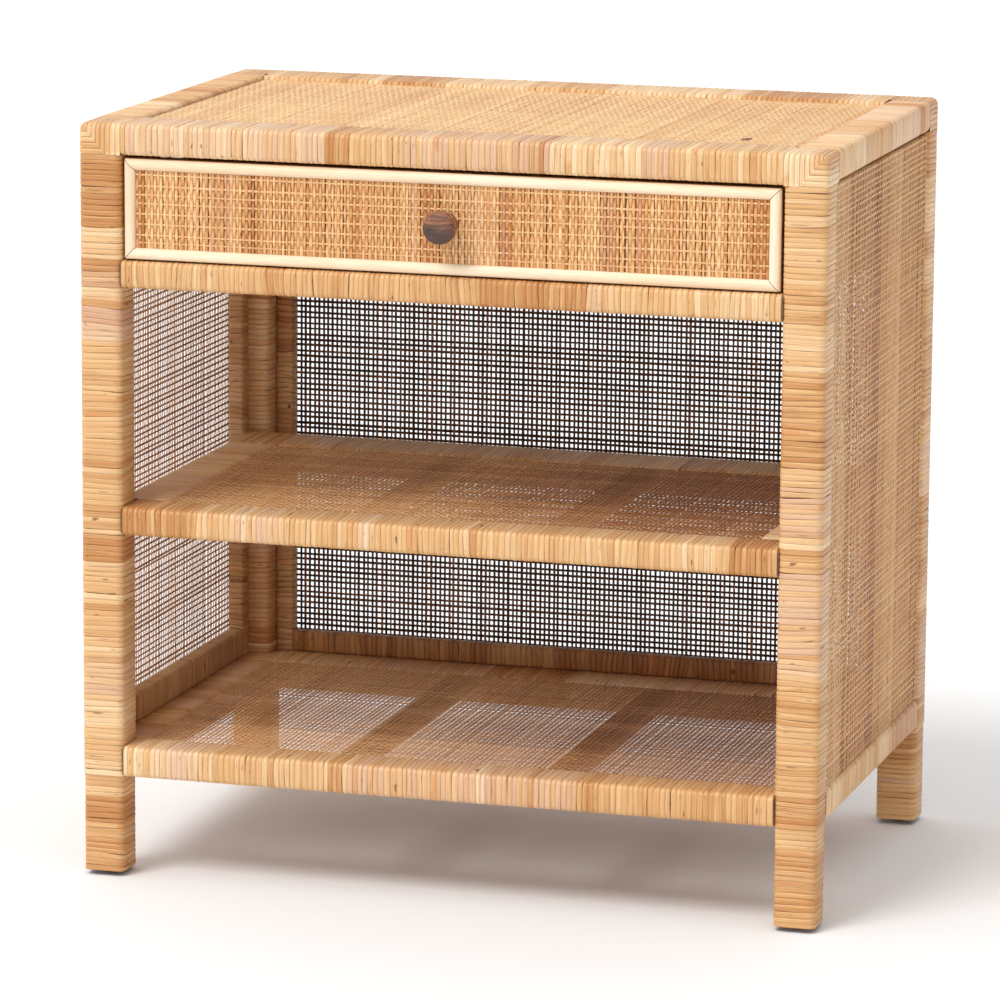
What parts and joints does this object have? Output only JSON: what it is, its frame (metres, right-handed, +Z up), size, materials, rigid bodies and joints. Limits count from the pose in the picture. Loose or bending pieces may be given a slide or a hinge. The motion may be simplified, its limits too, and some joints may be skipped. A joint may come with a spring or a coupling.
{
  "type": "nightstand",
  "caption": "Rattan-wound nightstand with a cane-faced drawer and round knob over two open cane shelves, with woven cane side and back panels.",
  "frame": {"origin": "on the floor, under the middle of the bounding box, drawer closed", "axes": "+Z up, front and drawer face -Y, +X to the right seen from the front"},
  "size_m": [0.6, 0.4188, 0.604],
  "materials": {
    "rattan_peel": "wound split rattan peel, satin",
    "woven_cane": "woven natural cane, satin",
    "frame_wood": "sawn hardwood, unfinished",
    "plywood": "thin plywood, sanded",
    "box_wood": "planed softwood, matt",
    "beading": "pale turned half-round, satin lacquer",
    "knob_wood": "dark turned hardwood, oiled",
    "screw_steel": "zinc plated",
    "glide_steel": "nickel plated, dulled"
  },
  "bodies": {
    "carcass": {"back_cane": "woven_cane", "back_lower_rail": "frame_wood", "back_stile_left": "frame_wood", "back_stile_right": "frame_wood", "back_upper_rail": "frame_wood", "bottom_rail_back": "frame_wood", "bottom_rail_front": "frame_wood", "bottom_rail_left": "frame_wood", "bottom_rail_right": "frame_wood", "bottom_shelf_cane": "woven_cane", "bottom_shelf_slats": "box_wood", "drawer_rail": "frame_wood", "drawer_rail_winding": "rattan_peel", "drawer_runner_left": "box_wood", "drawer_runner_right": "box_wood", "drawer_stops": "box_wood", "foot_glides": "glide_steel", "frame_dowels": "frame_wood", "leg_back_left": "frame_wood", "leg_back_right": "frame_wood", "leg_front_left": "frame_wood", "leg_front_right": "frame_wood", "leg_winding": "rattan_peel", "middle_rail_back": "frame_wood", "middle_rail_front": "frame_wood", "middle_rail_left": "frame_wood", "middle_rail_right": "frame_wood", "middle_shelf_cane": "woven_cane", "middle_shelf_slats": "box_wood", "panel_frame_winding": "rattan_peel", "shelf_frame_winding": "rattan_peel", "side_cane_left": "woven_cane", "side_cane_right": "woven_cane", "side_lower_rail_left": "frame_wood", "side_lower_rail_right": "frame_wood", "side_stile_back_left": "frame_wood", "side_stile_back_right": "frame_wood", "side_stile_front_left": "frame_wood", "side_stile_front_right": "frame_wood", "side_upper_rail_left": "frame_wood", "side_upper_rail_right": "frame_wood", "top_board": "plywood", "top_cane": "woven_cane", "top_frame_winding": "rattan_peel", "top_rail_back": "frame_wood", "top_rail_front": "frame_wood", "top_rail_left": "frame_wood", "top_rail_right": "frame_wood"},
    "drawer": {"bead_bottom": "beading", "bead_left": "beading", "bead_right": "beading", "bead_top": "beading", "drawer_back": "box_wood", "drawer_bottom": "plywood", "drawer_front_board": "plywood", "drawer_front_cane": "woven_cane", "drawer_side_left": "box_wood", "drawer_side_right": "box_wood", "knob": "knob_wood", "knob_screw": "screw_steel"}
  },
  "joints": [
    {"name": "drawer_slide", "type": "slide", "parent": "carcass", "child": "drawer", "axis": [0, -1, 0], "range_m": [0, 0.25]}
  ]
}
